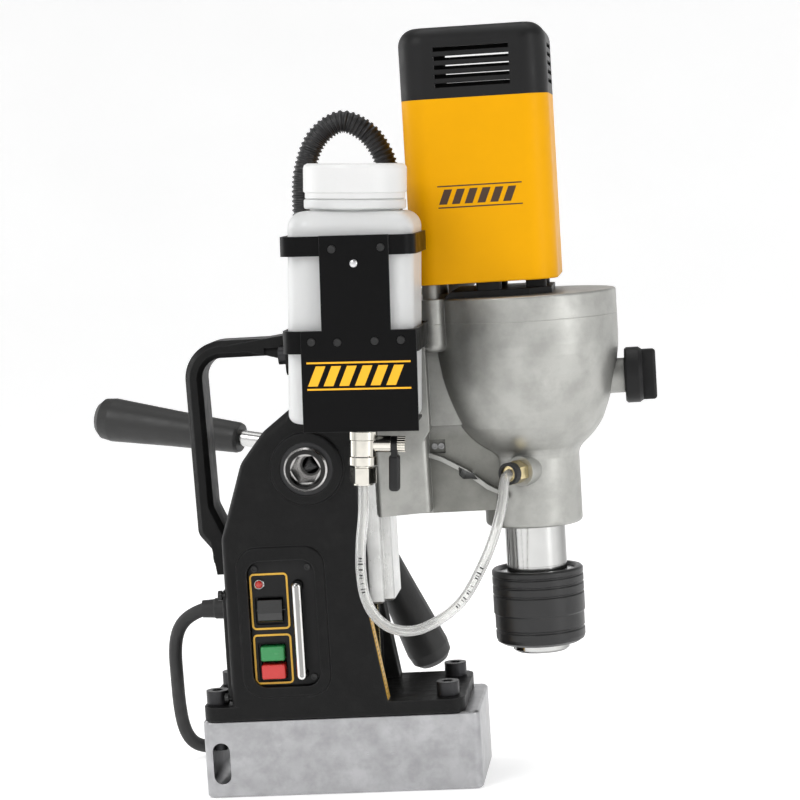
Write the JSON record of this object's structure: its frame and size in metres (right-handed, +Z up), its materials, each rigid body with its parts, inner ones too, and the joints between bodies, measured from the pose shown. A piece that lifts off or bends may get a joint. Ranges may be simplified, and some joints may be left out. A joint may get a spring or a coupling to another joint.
{
  "type": "magnetic drill press",
  "caption": "Portable drilling machine on an electromagnet base: cast stand, rack-fed geared motor head, quick-change arbor chuck, coolant bottle and spoked feed handle.",
  "frame": {"origin": "centre of the magnet's pole face, on the surface the machine clamps to", "axes": "+Z up along the spindle, +X from the stand towards the spindle, -Y the side with the control panel and the coolant bottle"},
  "size_m": [0.3485, 0.226, 0.432],
  "materials": {
    "machined_steel": "ground steel",
    "potting": "matt resin",
    "black_casting": "satin black powder coat",
    "black_screw": "black oxide",
    "black_plastic": "fine texture",
    "circuit_board": "solder mask",
    "chrome": "polished",
    "black_rubber": "matt",
    "brass": "machined",
    "zinc_screw": "zinc plated",
    "bronze": "sintered",
    "bottle_plastic": "translucent milky",
    "black_sheet": "satin black paint",
    "nickel": "nickel plated",
    "hose_clear": "clear soft tube",
    "conduit_plastic": "ribbed",
    "switch_black": "glossy",
    "switch_green": "glossy",
    "switch_red": "glossy",
    "cap_plastic": "moulded",
    "polished_steel": "polished",
    "grip_rubber": "soft grip",
    "aluminium": "machined",
    "cast_aluminium": "cast, satin lacquer",
    "bearing_steel": "ground",
    "yellow_plastic": "satin moulded",
    "laminated_steel": "laminations",
    "copper": "enamelled winding",
    "carbon": "carbon",
    "spring_steel": "spring steel",
    "collar_rubber": "black ribbed sleeve"
  },
  "bodies": {
    "stand": {"magnet_base": "machined_steel", "magnet_coils": "potting", "body_housing": "black_casting", "stand_bolts": "black_screw", "stand_screws": "black_screw", "rear_cover": "black_plastic", "control_board": "circuit_board", "control_panel": "black_plastic", "switch_guard": "chrome", "switch_block": "black_plastic", "carry_handle": "black_casting", "power_cord": "black_rubber", "gib_strip": "brass", "feed_bushes": "bronze", "coolant_bottle": "bottle_plastic", "bottle_bracket": "black_sheet", "valve_body": "nickel", "compression_nut": "nickel", "coolant_hose": "hose_clear", "conduit_gland_stand": "black_plastic", "cable_conduit": "conduit_plastic"},
    "rocker": {"magnet_rocker": "switch_black"},
    "start_key": {"start_button": "switch_green"},
    "stop_key": {"stop_button": "switch_red"},
    "cap": {"bottle_cap": "cap_plastic"},
    "valve": {"valve_ball": "nickel", "valve_lever": "black_plastic"},
    "feed": {"feed_pinion_shaft": "machined_steel", "feed_hub": "black_casting", "hub_screw": "zinc_screw", "feed_spokes": "polished_steel", "feed_grips": "grip_rubber"},
    "carriage": {"slide_rail": "aluminium", "rack": "machined_steel", "gearcase": "cast_aluminium", "gearcase_cover": "cast_aluminium", "carriage_screws": "zinc_screw", "bearings": "bearing_steel", "motor_flange": "black_plastic", "motor_housing": "yellow_plastic", "motor_top_cap": "black_plastic", "stator_core": "laminated_steel", "field_coils": "copper", "brush_bridge": "black_plastic", "carbon_brushes": "carbon", "hose_fitting": "brass", "fitting_ring": "black_rubber", "conduit_gland_motor": "black_plastic"},
    "rotor": {"armature": "laminated_steel", "cooling_fan": "black_plastic"},
    "layshaft": {"layshaft": "machined_steel"},
    "spindle": {"spindle": "polished_steel", "arbor_chuck": "machined_steel", "chuck_lock": "bearing_steel", "collar_spring": "spring_steel"},
    "cluster": {"gear_cluster": "machined_steel"},
    "fork": {"shift_fork": "bronze"},
    "selector": {"selector_shaft": "machined_steel", "selector_knob": "black_plastic"},
    "collar": {"chuck_collar": "collar_rubber"}
  },
  "joints": [
    {"name": "feed_slide", "type": "slide", "parent": "stand", "child": "carriage", "axis": [0, 0, 1], "range_m": [-0.052, 0.075], "deforming": ["coolant_hose", "cable_conduit"]},
    {"name": "feed_turn", "type": "hinge", "parent": "stand", "child": "feed", "pos_m": [-0.0096, 0, 0.1888], "axis": [0, 1, 0], "range_deg": [-331, 230]},
    {"name": "motor_spin", "type": "hinge", "parent": "carriage", "child": "rotor", "pos_m": [0.097, 0, 0.3], "axis": [0, 0, 1], "continuous": true},
    {"name": "layshaft_spin", "type": "hinge", "parent": "carriage", "child": "layshaft", "pos_m": [0.08851, 0.0181, 0.24], "axis": [0, 0, 1], "continuous": true},
    {"name": "spindle_spin", "type": "hinge", "parent": "carriage", "child": "spindle", "pos_m": [0.1155, 0, 0.2], "axis": [0, 0, 1], "continuous": true},
    {"name": "selector_turn", "type": "hinge", "parent": "carriage", "child": "selector", "pos_m": [0.172, 0, 0.229], "axis": [1, 0, 0], "range_deg": [-1, 61]},
    {"name": "fork_slide", "type": "slide", "parent": "carriage", "child": "fork", "axis": [0, 0, 1], "range_m": [-0.0056, 0.0001]},
    {"name": "cluster_slide", "type": "slide", "parent": "spindle", "child": "cluster", "axis": [0, 0, 1], "range_m": [-0.0055, 0]},
    {"name": "collar_lift", "type": "slide", "parent": "spindle", "child": "collar", "axis": [0, 0, 1], "range_m": [0, 0.006], "stiffness_N_per_m": 300, "deforming": ["collar_spring"]},
    {"name": "valve_turn", "type": "hinge", "parent": "stand", "child": "valve", "pos_m": [0.02871, -0.085, 0.20577], "axis": [0.9983, 0, -0.0576], "range_deg": [0, 90]},
    {"name": "cap_unscrew", "type": "slide", "parent": "stand", "child": "cap", "axis": [0.0576, 0, 0.9983], "range_m": [0, 0.03]},
    {"name": "magnet_rock", "type": "hinge", "parent": "stand", "child": "rocker", "pos_m": [-0.036, -0.037, 0.108], "axis": [1, 0, 0], "range_deg": [0, 12]},
    {"name": "start_press", "type": "slide", "parent": "stand", "child": "start_key", "axis": [0, 1, 0], "range_m": [0, 0.0025], "stiffness_N_per_m": 400},
    {"name": "stop_press", "type": "slide", "parent": "stand", "child": "stop_key", "axis": [0, 1, 0], "range_m": [0, 0.0025], "stiffness_N_per_m": 400}
  ],
  "couplings": [
    {"joint": "feed_turn", "follows": "feed_slide", "rad_per_m": -76.923},
    {"joint": "layshaft_spin", "follows": "motor_spin", "ratio": -0.25},
    {"joint": "spindle_spin", "follows": "motor_spin", "ratio": 0.075},
    {"joint": "fork_slide", "follows": "cluster_slide", "ratio": 1},
    {"joint": "selector_turn", "follows": "cluster_slide", "rad_per_m": -190.4}
  ]
}
